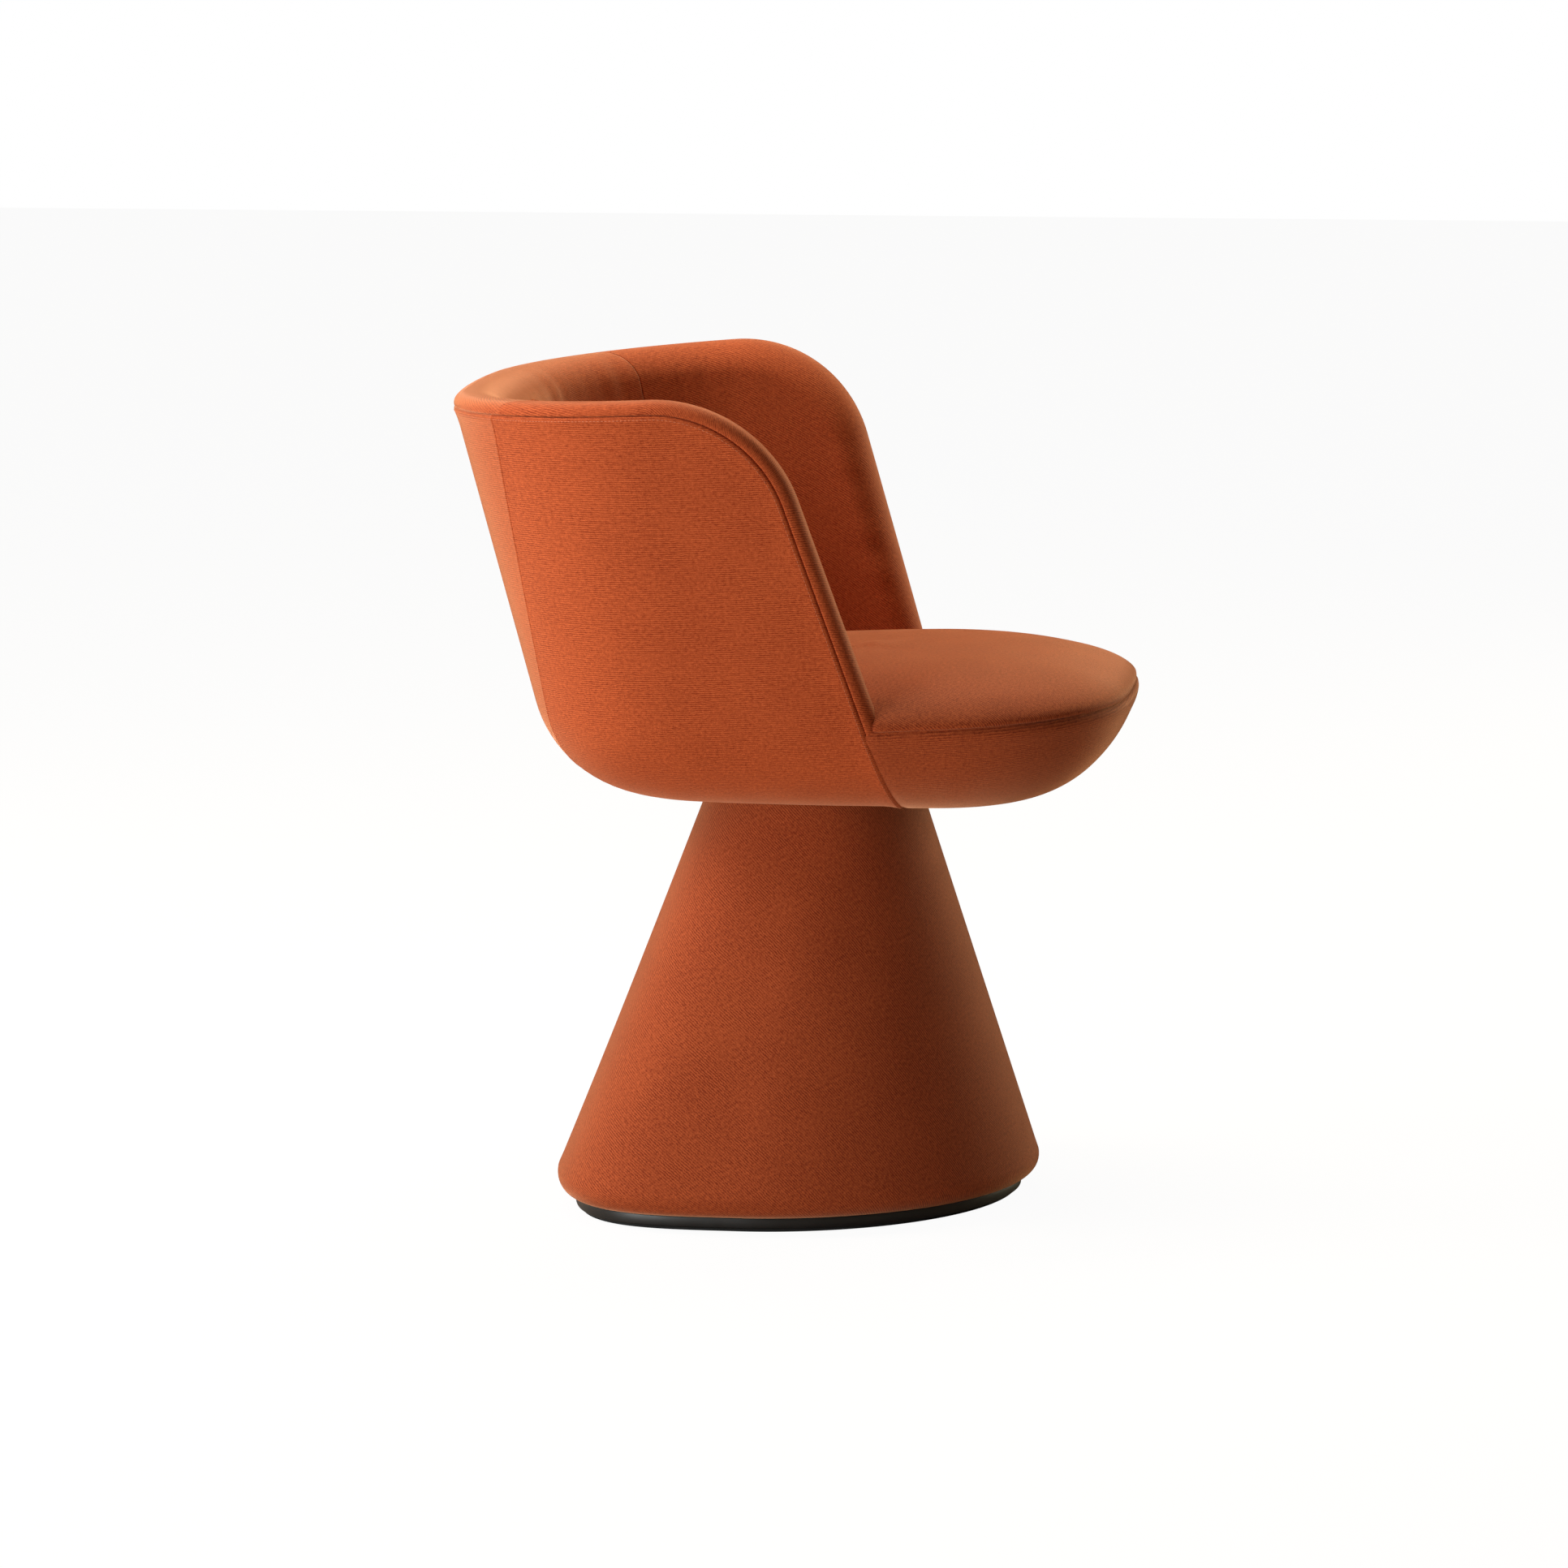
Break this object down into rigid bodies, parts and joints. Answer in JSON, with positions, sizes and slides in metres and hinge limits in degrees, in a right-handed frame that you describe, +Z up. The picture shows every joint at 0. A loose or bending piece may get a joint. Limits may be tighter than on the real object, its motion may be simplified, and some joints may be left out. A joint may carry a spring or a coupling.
{
  "type": "pedestal armchair",
  "caption": "Upholstered tub armchair with a crowned seat that swivels on a fabric-covered, cone-shaped pedestal with a dark recessed plinth.",
  "frame": {"origin": "on the floor, on the swivel axis", "axes": "+Z up along the swivel axis, -Y the way the chair faces, +X the sitter's left"},
  "size_m": [0.6074, 0.5998, 0.7311],
  "materials": {
    "wool_fabric": "wool twill",
    "foam": "open-cell foam",
    "plywood": "unfinished birch plywood",
    "moulded_block": "pressed wood",
    "cone_plastic": "moulded",
    "plinth_black": "black lacquer",
    "felt": "felt",
    "lining": "non-woven cloth",
    "steel": "bright",
    "dark_steel": "black powder coat",
    "bush_plastic": "acetal"
  },
  "bodies": {
    "pedestal": {"floor_pad": "felt", "plinth": "plinth_black", "base_board": "plywood", "ballast_plate": "dark_steel", "column_foot": "dark_steel", "foot_bolts": "steel", "column_tube": "dark_steel", "cone_shell": "cone_plastic", "cone_cover": "wool_fabric", "cone_top_ring": "plywood", "swivel_hub": "dark_steel", "lower_bush": "bush_plastic", "upper_bush": "bush_plastic", "thrust_washer": "bush_plastic"},
    "seat": {"swivel_spindle": "steel", "end_washer": "steel", "retaining_clip": "steel", "seat_plate": "dark_steel", "seat_bolts": "steel", "tee_nuts": "steel", "seat_block": "moulded_block", "seat_foam": "foam", "seat_top_cover": "wool_fabric", "seat_band_cover": "wool_fabric", "back_shell": "plywood", "back_foam": "foam", "outer_back_cover": "wool_fabric", "outer_side_cover_left": "wool_fabric", "outer_side_cover_right": "wool_fabric", "inner_back_cover": "wool_fabric", "inner_arm_cover_left": "wool_fabric", "inner_arm_cover_right": "wool_fabric", "dust_cover": "lining"}
  },
  "joints": [
    {"name": "seat_swivel", "type": "hinge", "parent": "pedestal", "child": "seat", "pos_m": [0, 0, 0.3513], "axis": [0, 0, 1], "continuous": true}
  ]
}
